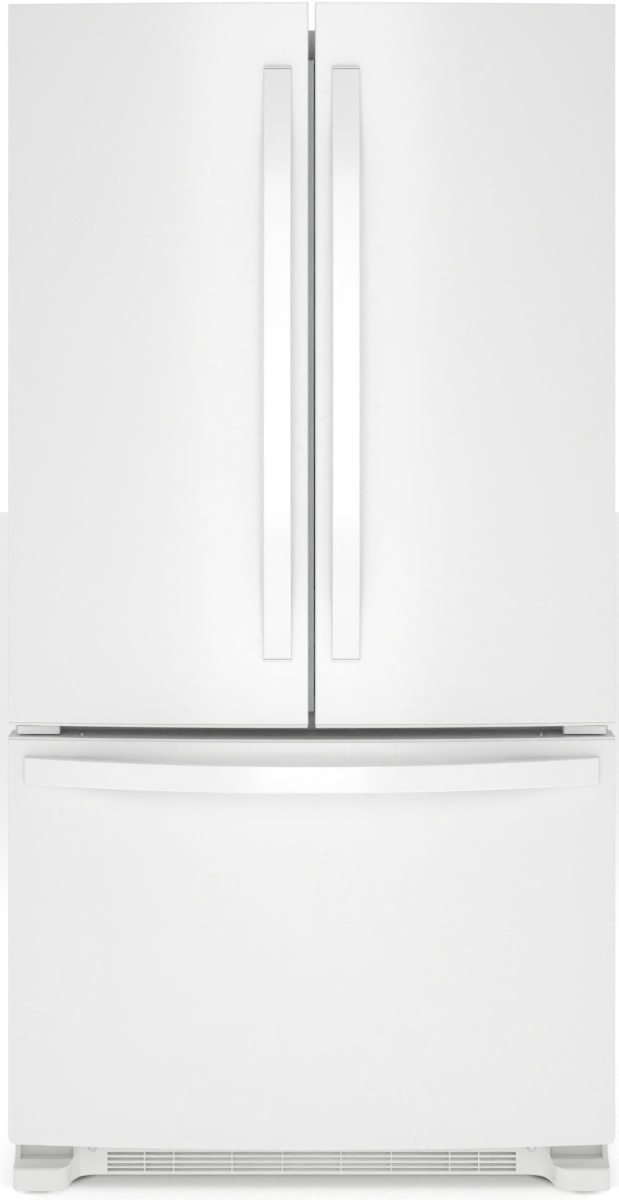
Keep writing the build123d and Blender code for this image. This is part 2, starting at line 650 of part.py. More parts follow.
def drawer_front():
    """Freezer drawer front: painted steel skin, foam core and an inner liner with one raised dam."""
    with BuildPart() as skin:
        add(bowed_slab(DRAWER_X, DRAWER_Z, 0, 11))
        fillet(front_edges(skin), 4)
        add(bowed_slab(DRAWER_X, DRAWER_Z, SHEET, 10), mode=Mode.SUBTRACT)
        for x in (-CAP_SCREW[0], CAP_SCREW[0]):
            add(screw_head((x, CAP_SCREW[1], DRAWER_TOP), (0, 0, 1), CAP_SCREW_RADIUS, CAP_SCREW_HEIGHT))
    save(skin.part, "drawer_skin")
    with BuildPart() as core:
        add(bowed_slab(DRAWER_X, DRAWER_Z, SHEET, 10))
        chamfer(front_edges(core), 3.5)
    save(core.part, "drawer_core")
    with BuildPart() as liner:
        block(DRAWER_X, (DOOR_BACK, LINER_BACK), DRAWER_Z)
        fillet(liner.edges().filter_by(Axis.Y).group_by(Axis.Z)[0], 11)
        add(rounded_dam(DRAWER_DAM[0], (LINER_BACK, -262), DRAWER_DAM[1], 8))
        block((-346, 346), (LINER_BACK, -261), (176, 614), Mode.SUBTRACT)
    save(liner.part, "drawer_liner")
    save(gasket((-HINGE_X + 1, HINGE_X - 1), (96, 680)), "drawer_gasket")


def slide_rails():
    """Three-part telescopic slides: channels on the freezer walls, floating channels and drawer bars."""
    with BuildPart() as fixed:
        for side in both(CAVITY_HALF - 2, CAVITY_HALF):
            block(side, (-270, 180), (RAIL_Z - 20, RAIL_Z + 20))
        for side in both(393, CAVITY_HALF - 2):
            for low in (RAIL_Z - 20, RAIL_Z + 18):
                block(side, (-270, 180), (low, low + 2))
    save(fixed.part, "slide_cabinet_rails")
    with BuildPart() as floating:
        for side in both(402, 403.8):
            block(side, (-268, 182), (RAIL_Z - 16.8, RAIL_Z + 16.8))
        for side in both(391.5, 402):
            for low in (RAIL_Z - 16.8, RAIL_Z + 14.8):
                block(side, (-268, 182), (low, low + 2))
    save(floating.part, "slide_middle_rails")
    with BuildPart() as bars:
        for side in both(390, 400):
            block(side, (LINER_BACK, 178), (RAIL_Z - 13, RAIL_Z + 13))
        for side in both(386, 390):
            block(side, (LINER_BACK, 178), (RAIL_Z - 18, RAIL_Z + 24))
        for side in both(376, 402):
            block(side, (LINER_BACK, LINER_BACK + 3), (RAIL_Z - 30, RAIL_Z + 30))
    save(bars.part, "slide_drawer_rails")


UPPER_BASKET_LEDGE = 500.0


def basket_slots(x, z_low, z_high, y_low, y_high):
    """Rows of upright slots through the long sides of a basket."""
    y = y_low
    while y < y_high:
        block(x, (y, y + 8), (z_low, z_high), Mode.SUBTRACT)
        y += 24


def baskets():
    """White moulded freezer baskets: the deep one rides on the drawer, the shallow one on the liner runners."""
    with BuildPart() as lower:
        add(tray((-383, 383), (-256, 165), (166, RAIL_Z + 24), 3, 18))
        for rim in both(380, 398):
            block(rim, (-250, 160), (RAIL_Z + 24, RAIL_Z + 27))
        basket_slots((-384, 384), 230, 370, -210, 120)
    save(lower.part, "lower_basket")
    with BuildPart() as upper:
        add(tray((-384, 384), (-236, 182), (444, 538), 3, 14))
        for rim in both(383, 404):
            block(rim, (-228, 174), (UPPER_BASKET_LEDGE, UPPER_BASKET_LEDGE + 3))
        basket_slots((-385, 385), 458, 490, -200, 140)
    save(upper.part, "upper_basket")


# ---------------------------------------------------------------- fresh-food interior
PANTRY_COVER_Z = 878.0
CRISPER_COVER_Z = 1098.0
LEFT_SHELVES = (1290.0, 1500.0)
RIGHT_SHELVES = (1240.0, 1450.0)
SHELF_X = (6.0, 402.0)
SHELF_BACK = 340.0
SHELF_RIM = 12.0
LADDER_X = (86.5, 372.0)


def shelf_positions():
    """The x range and the height of each glass shelf."""
    left, right = both(*SHELF_X)
    return [(left, z) for z in LEFT_SHELVES] + [(right, z) for z in RIGHT_SHELVES]


def rim(x, y, z, width, bars=()):
    """A rectangular frame with a ledge under the glass, and any bars across it."""
    block(x, y, z)
    block((x[0] + 4, x[1] - 4), (y[0] + 4, y[1] - 4), (z[0] + 4, z[1] + 1), Mode.SUBTRACT)
    block(
        (x[0] + width, x[1] - width), (y[0] + width, y[1] - width), (z[0] - 1, z[1] + 1), Mode.SUBTRACT
    )
    for bar in bars:
        block((bar - 5, bar + 5), (y[0] + 4, y[1] - 4), (z[0], z[0] + 4))


def shelves():
    """Glass shelves: rims on pairs of arms that hook into the ladders, and the covers over the drawers."""
    with BuildPart() as frames:
        for x, z in shelf_positions():
            rim(x, (SHELF_FRONT, SHELF_BACK), (z, z + SHELF_RIM), SHELF_RIM)
            sign = -1 if x[0] < 0 else 1
            for arm in LADDER_X:
                centre = sign * arm
                block((centre - 1.5, centre + 1.5), (-90, 388), (z - 8, z))
                block((centre - 1.5, centre + 1.5), (300, 388), (z - 34, z))
        for z in (PANTRY_COVER_Z, CRISPER_COVER_Z):
            rim((-402, 402), (SHELF_FRONT, 335), (z, z + SHELF_RIM), 14, bars=(0,))
    save(frames.part, "shelf_frames")
    panes = [(x, z, SHELF_BACK) for x, z in shelf_positions()]
    panes += [((-402, 402), PANTRY_COVER_Z, 335), ((-402, 402), CRISPER_COVER_Z, 335)]
    with BuildPart() as glass:
        for x, z, back in panes:
            block((x[0] + 4, x[1] - 4), (SHELF_FRONT + 4, back - 4), (z + 4, z + 8))
    save(glass.part, "shelf_glass")


def shelf_ladders():
    """Slotted steel uprights on the rear wall that hold the shelves at any height."""
    with BuildPart() as ladders:
        for x in (-LADDER_X[1], -LADDER_X[0], LADDER_X[0], LADDER_X[1]):
            block((x - 9, x + 9), (388, CAVITY_BACK), (1130, 1690))
            for step in range(17):
                low = 1154 + 31 * step
                block((x - 2, x + 2), (387.5, 391), (low, low + 16), Mode.SUBTRACT)
    save(ladders.part, "shelf_ladders")


def food_drawers():
    """Clear crispers side by side, and the full-width pantry drawer below them."""
    back = 325
    with BuildPart() as crisper:
        add(tray((-400, -4), (SHELF_FRONT + 2, back), (PANTRY_COVER_Z + SHELF_RIM, 1086), 3, 10))
        block((-300, -104), (SHELF_FRONT - 4, SHELF_FRONT + 2), (1062, 1070))
    save(crisper.part, "crisper_left")
    save(mirrored(crisper.part), "crisper_right")
    with BuildPart() as pantry:
        add(tray((-400, 400), (SHELF_FRONT + 2, back), (FRIDGE_FLOOR, 866), 3, 10))
        block((-300, 300), (SHELF_FRONT - 4, SHELF_FRONT + 2), (846, 854))
    save(pantry.part, "pantry_drawer")


SLIDER_X = 220.0


def humidity_sliders():
    """Small thumb slides on the front rail of the crisper cover."""
    z = CRISPER_COVER_Z
    with BuildPart() as slider:
        block((-SLIDER_X - 12, -SLIDER_X + 12), (SHELF_FRONT - 3, SHELF_FRONT), (z + 2, z + 10))
        block((-SLIDER_X - 2, -SLIDER_X + 2), (SHELF_FRONT - 7, SHELF_FRONT - 3), (z + 3, z + 9))
    save(slider.part, "humidity_slider_left")
    with BuildPart() as other:
        add(slider.part.moved(Location((2 * SLIDER_X - 40, 0, 0))))
    save(other.part, "humidity_slider_right")


def air_duct():
    """Moulded cold-air tower on the rear wall, with outlets at each shelf."""
    with BuildPart() as duct:
        block((-68, 68), (362, CAVITY_BACK), (1125, 1668))
        fillet(duct.edges().filter_by(Axis.Z).group_by(Axis.Y)[0], 10)
        block((-64, 64), (366, CAVITY_BACK + 1), (1129, 1664), Mode.SUBTRACT)
        for z in (1180, 1350, 1560):
            for row in range(3):
                block((-42, 42), (361, 367), (z + 12 * row, z + 12 * row + 6), Mode.SUBTRACT)
    save(duct.part, "air_duct")


def control_housing():
    """Ceiling housing with the touch controls at its front and the lamp behind."""
    with BuildPart() as housing:
        block((-165, 165), (-150, 60), (1672, FRIDGE_CEILING))
        fillet(housing.edges().filter_by(Axis.Z), 16)
        fillet(housing.faces().sort_by(Axis.Z)[0].edges(), 6)
        block((-120, 120), (-70, 30), (1671, 1675), Mode.SUBTRACT)
    save(housing.part, "control_housing")


# ---------------------------------------------------------------- freezer interior
EVAPORATOR_FAN = (0.0, 345.0, 590.0)
FAN_RADIUS = 46.0


def evaporator_cover():
    """Panel in front of the coil, with the fan shroud, the motor on three arms and the return slots."""
    x, y, z = EVAPORATOR_FAN
    with BuildPart() as cover:
        block((-404, 404), (318, 321), (FREEZER_STEP_Z, 650))
        rod((x, 321, z), (0, 1, 0), 45, FAN_RADIUS + 10)
        rod((x, 317, z), (0, 1, 0), 50, FAN_RADIUS + 6, Mode.SUBTRACT)
        for turn in (0, 120, 240):
            with Locations(Location((x, 364, z), (0, turn, 0))):
                Box(8, 6, FAN_RADIUS + 8, align=(Align.CENTER, Align.CENTER, Align.MIN))
        rod((x, 361, z), (0, 1, 0), 24, 18)
        rod((x, 340, z), (0, 1, 0), 22, 2)
        for row in range(4):
            block((-300, 300), (317, 322), (362 + 14 * row, 369 + 14 * row), Mode.SUBTRACT)
        for bar in range(-2, 3):
            block((x - 52, x + 52), (318, 321), (z + 20 * bar - 2, z + 20 * bar + 2))
    save(cover.part, "evaporator_cover")


def fan_wheel(centre, direction, radius, depth, bore, name):
    """A moulded axial fan: a hub with five pitched blades."""
    wheel_plane = Plane(origin=centre, z_dir=direction)
    with BuildPart() as wheel:
        with Locations(wheel_plane):
            Cylinder(radius * 0.3, depth, align=(Align.CENTER, Align.CENTER, Align.MIN))
            with PolarLocations(0, 5):
                with Locations(Location((radius * 0.62, 0, depth / 2), (35, 0, 0))):
                    Box(radius * 0.72, radius * 0.42, 1.6)
            Cylinder(bore, depth + 1, align=(Align.CENTER, Align.CENTER, Align.MIN), mode=Mode.SUBTRACT)
    save(wheel.part, name)


def finned_coil(x, y, z, fins, rows, radius):
    """Straight tubes along X through evenly spaced fins."""
    step = (x[1] - x[0]) / (fins - 1)
    for index in range(fins):
        at = x[0] + index * step
        block((at - 0.5, at + 0.5), y, z)
    for tube_y, tube_z in rows:
        rod((x[0] - 8, tube_y, tube_z), (1, 0, 0), x[1] - x[0] + 16, radius)


def evaporator_coil():
    """Finned aluminium coil behind the freezer panel, standing on two feet."""
    with BuildPart() as coil:
        rows = [(y, z) for y in (344, 370) for z in (385, 415, 445, 475, 505)]
        finned_coil((-320, 320), (334, 380), (370, 520), 17, rows, 4)
        for foot in (-160, 160):
            block((foot - 2, foot + 2), (340, 376), (FREEZER_STEP_Z, 372))
        for end in (-328, 328):
            block((end - 3, end + 3), (338, 376), (379, 511))
    save(coil.part, "evaporator_coil")


ICE_AXIS = (-320.0, 612.0)  # x and z of the ejector shaft
ICE_ARM_AXIS = (-254.0, 604.0)


def ice_maker():
    """Ice mould with its drive module at the front, hung from the freezer ceiling by two hangers."""
    x, z = ICE_AXIS
    with BuildPart() as maker:
        block((x - 62, x + 62), (48, 290), (566, 618))
        rod((x, 52, z), (0, 1, 0), 234, 38, Mode.SUBTRACT)
        block((x - 38, x + 38), (52, 286), (z, 619), Mode.SUBTRACT)
        for wall in range(1, 7):
            y = 52 + wall * 33
            with BuildSketch(Plane.XZ.offset(-y)):
                with Locations((x, z)):
                    Circle(39)
                    Circle(14, mode=Mode.SUBTRACT)
                with Locations((x, z + 30)):
                    Rectangle(90, 62, mode=Mode.SUBTRACT)
            extrude(amount=-2)
        block((x - 70, x + 74), (6, 48), (560, 640))
        fillet(maker.edges(Select.LAST).filter_by(Axis.Z).group_by(Axis.Y)[0], 8)
        for y in (60, 270):
            block((x - 62, x - 56), (y, y + 14), (618, FREEZER_CEILING))
        rod((x, 48, z), (0, 1, 0), 6, 3)
        rod((x, 284, z), (0, 1, 0), 6, 3)
    save(maker.part, "ice_maker")


def ice_ejector():
    """Shaft with a finger for each ice pocket, turned by the drive module."""
    x, z = ICE_AXIS
    with BuildPart() as ejector:
        rod((x, 55, z), (0, 1, 0), 228, 5)
        rod((x, 54, z), (0, 1, 0), 1, 5)
        for pocket in range(7):
            y = 65 + pocket * 33
            block((x - 2, x + 2), (y, y + 6), (z + 3, z + 33))
        rod((x, 53, z), (0, 1, 0), 3, 3 + PIN_CLEARANCE, Mode.SUBTRACT)
        rod((x, 282, z), (0, 1, 0), 3, 3 + PIN_CLEARANCE, Mode.SUBTRACT)
    save(ejector.part, "ice_ejector")


def ice_arm():
    """Wire shut-off arm beside the mould that feels how full the ice bin is."""
    x, z = ICE_ARM_AXIS
    points = [(x, 48.5, z), (x, 58, z), (x + 24, 66, 553), (x + 24, 232, 553), (x, 240, z), (x, 250, z)]
    with BuildPart() as arm:
        with BuildLine():
            FilletPolyline(*points, radius=4)
        with BuildSketch(Plane(origin=points[0], z_dir=(0, 1, 0))):
            Circle(1.8)
        sweep()
    save(arm.part, "ice_arm")


# ---------------------------------------------------------------- machine compartment
COMPRESSOR = (265.0, 335.0)
CONDENSER_FAN = (-118.0, 335.0, 150.0)
CONDENSER_FAN_RADIUS = 72.0


def compressor():
    """Welded hermetic compressor on a rubber-footed plate, with its tubes and relay box."""
    x, y = COMPRESSOR
    with BuildPart() as pump:
        rod((x, y, 53), (0, 0, 1), 165, 86)
        fillet(pump.edges().filter_by(GeomType.CIRCLE).group_by(Axis.Z)[-1], 52)
        fillet(pump.edges().filter_by(GeomType.CIRCLE).group_by(Axis.Z)[0], 16)
        rod((x, y, 128), (0, 0, 1), 8, 90)
        block((x - 95, x + 95), (y - 78, y + 78), (47, 54))
        for foot_x in (x - 78, x + 78):
            for foot_y in (y - 62, y + 62):
                rod((foot_x, foot_y, PAN_TOP), (0, 0, 1), 8, 12)
        block((x - 116, x - 78), (y - 30, y + 30), (76, 122))
        for tube_x, tube_z, tube_radius in ((x + 20, 112, 4), (x - 20, 150, 3)):
            rod((tube_x, y - 60, tube_z), (0, -1, 0), 42, tube_radius)
    save(pump.part, "compressor")


def condenser_unit():
    """Condenser coil, and beside it the fan shroud with its motor on a bracket."""
    x, y, z = CONDENSER_FAN
    with BuildPart() as unit:
        rows = [(row_y, row_z) for row_y in (270, 310, 350, 390) for row_z in (80, 120, 160, 200)]
        finned_coil((-400, -190), (255, 405), (60, 220), 15, rows, 3)
        for foot in (-385, -205):
            block((foot - 2, foot + 2), (262, 398), (PAN_TOP, 62))
        block((x - 24, x - 21), (250, 420), (PAN_TOP, 235))
        rod((x - 25, y, z), (1, 0, 0), 5, CONDENSER_FAN_RADIUS + 5, Mode.SUBTRACT)
        block((x + 26, x + 30), (y - 22, y + 22), (PAN_TOP, z + 26))
        rod((x + 26, y, z), (1, 0, 0), 36, 24)
        rod((x - 2, y, z), (1, 0, 0), 29, 3)
    save(unit.part, "condenser_unit")


# ---------------------------------------------------------------- build
def main():
    os.makedirs("parts", exist_ok=True)
    cabinet_shell()
    cabinet_foam()
    fridge_liner()
    freezer_liner()
    back_panel()
    machine_cover()
    base_pan()
    roller(FRONT_ROLLER, "front_roller")
    roller(REAR_ROLLER, "rear_roller")
    leveling_leg()
    base_grille()
    door_hinges()
    hinge_covers()
    fasteners()
    door_skin()
    door_core()
    door_liner("door_left_liner", LEFT)
    door_liner("door_right_liner", RIGHT)
    door_gaskets()
    door_bins()
    dairy_lid()
    mullion_bar()
    door_handles()
    drawer_handle()
    drawer_front()
    slide_rails()
    baskets()
    shelves()
    shelf_ladders()
    food_drawers()
    humidity_sliders()
    air_duct()
    control_housing()
    evaporator_cover()
    fan_wheel(EVAPORATOR_FAN, (0, 1, 0), FAN_RADIUS, 14, 2 + PIN_CLEARANCE, "evaporator_fan")
    evaporator_coil()
    ice_maker()
    ice_ejector()
    ice_arm()
    compressor()
    condenser_unit()
    fan_wheel(CONDENSER_FAN, (1, 0, 0), CONDENSER_FAN_RADIUS, 20, 3 + PIN_CLEARANCE, "condenser_fan")


main()
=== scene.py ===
import bmesh
import bpy
import math
from mathutils import Matrix, Vector


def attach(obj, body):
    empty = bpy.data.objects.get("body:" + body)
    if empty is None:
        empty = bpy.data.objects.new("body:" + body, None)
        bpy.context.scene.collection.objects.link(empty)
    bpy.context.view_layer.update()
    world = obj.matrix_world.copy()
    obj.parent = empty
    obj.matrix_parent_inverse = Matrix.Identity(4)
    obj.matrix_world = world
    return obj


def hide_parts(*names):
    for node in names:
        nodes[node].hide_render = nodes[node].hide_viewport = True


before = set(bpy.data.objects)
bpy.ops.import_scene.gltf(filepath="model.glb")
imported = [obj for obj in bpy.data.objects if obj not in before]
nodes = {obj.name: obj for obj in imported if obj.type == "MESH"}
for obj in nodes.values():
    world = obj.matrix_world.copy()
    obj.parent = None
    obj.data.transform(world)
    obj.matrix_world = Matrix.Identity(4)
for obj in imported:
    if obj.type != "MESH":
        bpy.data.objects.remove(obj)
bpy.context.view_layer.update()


# ---- Room: a pale floor, an even white surround and four soft boxes.
# The big box stands in front of the doors at chest height, and three more light the top and both sides.
# The floor glows faintly all round, but the glow is masked out where the refrigerator stands: that unlit patch
# is a painted shadow, a soft dark line under its foot.
bpy.context.scene.view_settings.view_transform = "Standard"

world = bpy.data.worlds.new("white_room")
bpy.context.scene.world = world
world.use_nodes = True
surround = world.node_tree.nodes["Background"]
surround.inputs["Color"].default_value = (1.0, 1.0, 1.0, 1.0)
rays = world.node_tree.nodes.new("ShaderNodeLightPath")
level = world.node_tree.nodes.new("ShaderNodeMapRange")
level.inputs["To Min"].default_value = 0.51
level.inputs["To Max"].default_value = 1.0
world.node_tree.links.new(rays.outputs["Is Camera Ray"], level.inputs["Value"])
world.node_tree.links.new(level.outputs["Result"], surround.inputs["Strength"])


def new_material(name):
    """An empty node material with a Principled shader on its output."""
    material = bpy.data.materials.new(name)
    material.use_nodes = True
    shader = material.node_tree.nodes["Principled BSDF"]
    return material, material.node_tree, shader


def object_noise(tree, scale, detail, stretch=(1.0, 1.0, 1.0)):
    """Noise that stays on the piece, read from its own coordinates."""
    place = tree.nodes.new("ShaderNodeTexCoord")
    mapping = tree.nodes.new("ShaderNodeMapping")
    mapping.inputs["Scale"].default_value = stretch
    noise = tree.nodes.new("ShaderNodeTexNoise")
    noise.inputs["Scale"].default_value = scale
    noise.inputs["Detail"].default_value = detail
    tree.links.new(place.outputs["Object"], mapping.inputs["Vector"])
    tree.links.new(mapping.outputs["Vector"], noise.inputs["Vector"])
    return noise


def two_tones(tree, noise, shader, dark, light, low=0.3, high=0.7):
    """Drives the colour between two near tones."""
    ramp = tree.nodes.new("ShaderNodeValToRGB")
    ramp.color_ramp.elements[0].position = low
    ramp.color_ramp.elements[0].color = (*dark, 1.0)
    ramp.color_ramp.elements[1].position = high
    ramp.color_ramp.elements[1].color = (*light, 1.0)
    tree.links.new(noise.outputs["Fac"], ramp.inputs["Fac"])
    tree.links.new(ramp.outputs["Color"], shader.inputs["Base Color"])
    return ramp


def vary_roughness(tree, noise, shader, low, high):
    """Lets the gloss wander a little over the surface."""
    spread = tree.nodes.new("ShaderNodeMapRange")
    spread.inputs["To Min"].default_value = low
    spread.inputs["To Max"].default_value = high
    tree.links.new(noise.outputs["Fac"], spread.inputs["Value"])
    tree.links.new(spread.outputs["Result"], shader.inputs["Roughness"])


def relief(tree, noise, shader, strength, depth):
    """Fine relief of a finish, with a depth in metres."""
    bump = tree.nodes.new("ShaderNodeBump")
    bump.inputs["Strength"].default_value = strength
    bump.inputs["Distance"].default_value = depth
    tree.links.new(noise.outputs["Fac"], bump.inputs["Height"])
    tree.links.new(bump.outputs["Normal"], shader.inputs["Normal"])


floor_paint, tree, shader = new_material("floor_paint")
two_tones(tree, object_noise(tree, 1.5, 2), shader, (0.93, 0.93, 0.93), (0.96, 0.96, 0.96))
vary_roughness(tree, object_noise(tree, 6.0, 3), shader, 0.75, 0.85)
shader.inputs["Emission Color"].default_value = (1.0, 1.0, 1.0, 1.0)
place = tree.nodes.new("ShaderNodeTexCoord")
axes = tree.nodes.new("ShaderNodeSeparateXYZ")
tree.links.new(place.outputs["Object"], axes.inputs["Vector"])
# The glow fades to nothing over the refrigerator's footprint, which paints a soft contact shadow on the floor;
# the painted shadow reaches further forward under the feet.
FLOOR_GLOW, FOOT_SHADOW_REACH = 0.34, 0.090
aside = tree.nodes.new("ShaderNodeMath")
aside.operation = "ABSOLUTE"
tree.links.new(axes.outputs["X"], aside.inputs[0])
shadow_reach = tree.nodes.new("ShaderNodeMapRange")
shadow_reach.inputs["From Min"].default_value = 0.330
shadow_reach.inputs["From Max"].default_value = 0.400
shadow_reach.inputs["To Max"].default_value = FOOT_SHADOW_REACH
tree.links.new(aside.outputs["Value"], shadow_reach.inputs["Value"])
ahead = tree.nodes.new("ShaderNodeMath")
tree.links.new(axes.outputs["Y"], ahead.inputs[0])
tree.links.new(shadow_reach.outputs["Result"], ahead.inputs[1])
glow = None
# Each mask takes the glow away inside one edge of the footprint (sides, back, front), painting the shadow
# under the cabinet.
for output, dark_to, bright_from in (
    (aside.outputs["Value"], 0.415, 0.440),
    (axes.outputs["Y"], 0.400, 0.440),
    (ahead.outputs["Value"], -0.215, -0.240),
):
    clear = tree.nodes.new("ShaderNodeMapRange")
    clear.inputs["From Min"].default_value = dark_to
    clear.inputs["From Max"].default_value = bright_from
    clear.inputs["To Max"].default_value = FLOOR_GLOW
    tree.links.new(output, clear.inputs["Value"])
    if glow is None:
        glow = clear.outputs["Result"]
        continue
    brighter = tree.nodes.new("ShaderNodeMath")
    brighter.operation = "MAXIMUM"
    tree.links.new(glow, brighter.inputs[0])
    tree.links.new(clear.outputs["Result"], brighter.inputs[1])
    glow = brighter.outputs["Value"]
tree.links.new(glow, shader.inputs["Emission Strength"])
bm = bmesh.new()
bmesh.ops.create_grid(bm, x_segments=8, y_segments=8, size=14.0)
floor_mesh = bpy.data.meshes.new("floor")
bm.to_mesh(floor_mesh)
bm.free()
floor_mesh.materials.append(floor_paint)
floor = bpy.data.objects.new("floor", floor_mesh)
bpy.context.collection.objects.link(floor)


def soft_box(name, place, aim, size, power):
    """A rectangular lamp that faces a point."""
    lamp = bpy.data.lights.new(name, "AREA")
    lamp.shape = "RECTANGLE"
    lamp.size, lamp.size_y = size
    lamp.energy = power
    lamp.spread = math.radians(130.0)
    box = bpy.data.objects.new(name, lamp)
    box.location = place
    box.rotation_euler = (Vector(aim) - Vector(place)).to_track_quat("-Z", "Y").to_euler()
    box.visible_camera = False
    bpy.context.collection.objects.link(box)


soft_box("front_box", (-0.02, -2.45, 1.25), (0.0, -0.3, 0.95), (0.9, 2.1), 8.6)
soft_box("top_box", (0.0, 0.2, 3.6), (0.0, 0.0, 1.7), (1.6, 1.2), 10.0)
soft_box("left_box", (-2.8, 1.2, 1.6), (-0.45, 0.1, 0.9), (1.4, 2.0), 10.0)
soft_box("right_box", (2.8, 1.2, 1.6), (0.45, 0.1, 0.9), (1.4, 2.0), 10.0)


# ---- Camera: level, straight in front of the doors, with its view dropped so that uprights stay upright.
# A long lens at 4.3 metres from the door edges gives the gentle curve of the door bottoms.
camera_data = bpy.data.cameras.new("camera")
camera_data.sensor_fit = "VERTICAL"
camera_data.sensor_height = 36.0
camera_data.lens = 86.6
camera_data.shift_y = -0.245
camera_data.clip_end = 60.0
camera = bpy.data.objects.new("camera", camera_data)
camera.location = (-0.0033, -4.654, 1.332)
camera.rotation_euler = (math.radians(90.0), 0.0, 0.0)
bpy.context.collection.objects.link(camera)
bpy.context.scene.camera = camera


# ---- Upper doors: pressed steel skins with a bowed front, sprayed with gloss white enamel and baked.
# Each wraps a foam core. The top outer corner is cut away for the hinge arm that comes out of the cabinet.
enamel, tree, shader = new_material("white_enamel")
two_tones(tree, object_noise(tree, 2.2, 3), shader, (0.824, 0.824, 0.822), (0.832, 0.832, 0.830))
vary_roughness(tree, object_noise(tree, 9.0, 4), shader, 0.24, 0.32)
relief(tree, object_noise(tree, 420.0, 2), shader, 0.12, 0.0002)
shader.inputs["Coat Weight"].default_value = 0.25
shader.inputs["Coat Roughness"].default_value = 0.12

DOOR_WIDTH = 0.905
EDGE_Y, MIDDLE_Y, SKIN_BACK = -0.354, -0.384, -0.287
BOW_RADIUS = ((DOOR_WIDTH / 2) ** 2 + 0.03**2) / 0.06


def bow(x):
    """How far forward the fronts stand at x."""
    return MIDDLE_Y + BOW_RADIUS - math.sqrt(BOW_RADIUS**2 - x * x)


def plan_of_panel(left, right, strips):
    """A flat plan of a door, its front edge on the bow, cut into upright strips."""
    bm = bmesh.new()
    bmesh.ops.create_grid(bm, x_segments=strips, y_segments=1, size=0.5)
    for vert in bm.verts:
        vert.co.x = left + (vert.co.x + 0.5) * (right - left)
        vert.co.y = SKIN_BACK if vert.co.y > 0 else bow(vert.co.x)
    return bm


def raise_faces(bm, faces, height):
    """Pulls faces straight up."""
    pulled = bmesh.ops.extrude_face_region(bm, geom=faces)["geom"]
    verts = [part for part in pulled if isinstance(part, bmesh.types.BMVert)]
    bmesh.ops.translate(bm, verts=verts, vec=(0.0, 0.0, height))
    return [part for part in pulled if isinstance(part, bmesh.types.BMFace)]


def cut_level(bm, *heights):
    """Cuts the panel across, so that each rounded end keeps its shading to itself."""
    for height in heights:
        everything = bm.verts[:] + bm.edges[:] + bm.faces[:]
        bmesh.ops.bisect_plane(bm, geom=everything, plane_co=(0.0, 0.0, height), plane_no=(0.0, 0.0, 1.0))


def round_front(bm, radius):
    """Rounds the edges all round the bowed front."""
    rim = []
    for edge in bm.edges:
        if len(edge.link_faces) == 2:
            facing = sorted(face.normal.y for face in edge.link_faces)
            if facing[0] < -0.9 and abs(facing[1]) < 0.5:
                rim.append(edge)
    bmesh.ops.bevel(bm, geom=rim, offset=radius, segments=4, profile=0.5, affect="EDGES", material=-1)


def open_back(bm):
    """Takes away the rear faces, where the inner liner closes the panel."""
    rear = []
    for face in bm.faces:
        if face.normal.y > 0.9 and face.calc_center_median().y > SKIN_BACK - 0.0005:
            rear.append(face)
    bmesh.ops.delete(bm, geom=rear, context="FACES")


def make_piece(name, bm, material, body, stands_for=()):
    """Turns a finished shape into a named piece that rides on its body."""
    mesh = bpy.data.meshes.new(name)
    bm.to_mesh(mesh)
    bm.free()
    mesh.materials.append(material)
    mesh.shade_smooth()
    mesh.set_sharp_from_angle(angle=math.radians(40.0))
    piece = bpy.data.objects.new(name, mesh)
    bpy.context.collection.objects.link(piece)
    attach(piece, body)
    if stands_for:
        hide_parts(*stands_for)
    return piece


def even_normals(piece):
    """Keeps flat faces flat beside their rounded edges."""
    weighted = piece.modifiers.new("even_normals", "WEIGHTED_NORMAL")
    weighted.keep_sharp = True


def sheet_wall(piece, thickness):
    """Gives a surface the thickness of its sheet, towards the inside."""
    wall = piece.modifiers.new("sheet", "SOLIDIFY")
    wall.thickness = thickness
    wall.offset = -1.0


DOOR_LOW, DOOR_HIGH, CAP_LOW = 0.712, 1.782, 0.7075
HALF_GAP, HALF_WIDTH, SHEET = 0.005, DOOR_WIDTH / 2, 0.001
POCKET_X, POCKET_Y, POCKET_Z = -0.3855, -0.3495, 1.7445
for side, sign in (("left", 1.0), ("right", -1.0)):
    bm = plan_of_panel(-HALF_WIDTH, -HALF_GAP, 36)
    everything = bm.verts[:] + bm.edges[:] + bm.faces[:]
    bmesh.ops.bisect_plane(bm, geom=everything, plane_co=(POCKET_X, 0.0, 0.0), plane_no=(1.0, 0.0, 0.0))
    everything = bm.verts[:] + bm.edges[:] + bm.faces[:]
    bmesh.ops.bisect_plane(bm, geom=everything, plane_co=(0.0, POCKET_Y, 0.0), plane_no=(0.0, 1.0, 0.0))
    bmesh.ops.translate(bm, verts=bm.verts[:], vec=(0.0, 0.0, DOOR_LOW))
    top = raise_faces(bm, bm.faces[:], POCKET_Z - DOOR_LOW)
    kept = []
    for face in top:
        centre = face.calc_center_median()
        if centre.x > POCKET_X or centre.y < POCKET_Y:
            kept.append(face)
    raise_faces(bm, kept, DOOR_HIGH - POCKET_Z)
    bmesh.ops.delete(bm, geom=kept, context="FACES")
    if sign < 0:
        bmesh.ops.scale(bm, verts=bm.verts[:], vec=(-1.0, 1.0, 1.0))
    cut_level(bm, DOOR_LOW + 0.006, 1.0, 1.4, DOOR_HIGH - 0.006)
    bmesh.ops.recalc_face_normals(bm, faces=bm.faces[:])
    round_front(bm, 0.0022)
    open_back(bm)
    skin = make_piece(
        f"door_{side}_enamel", bm, enamel, f"door_{side}", (f"door_{side}_skin",)
    )
    sheet_wall(skin, SHEET)
    even_normals(skin)


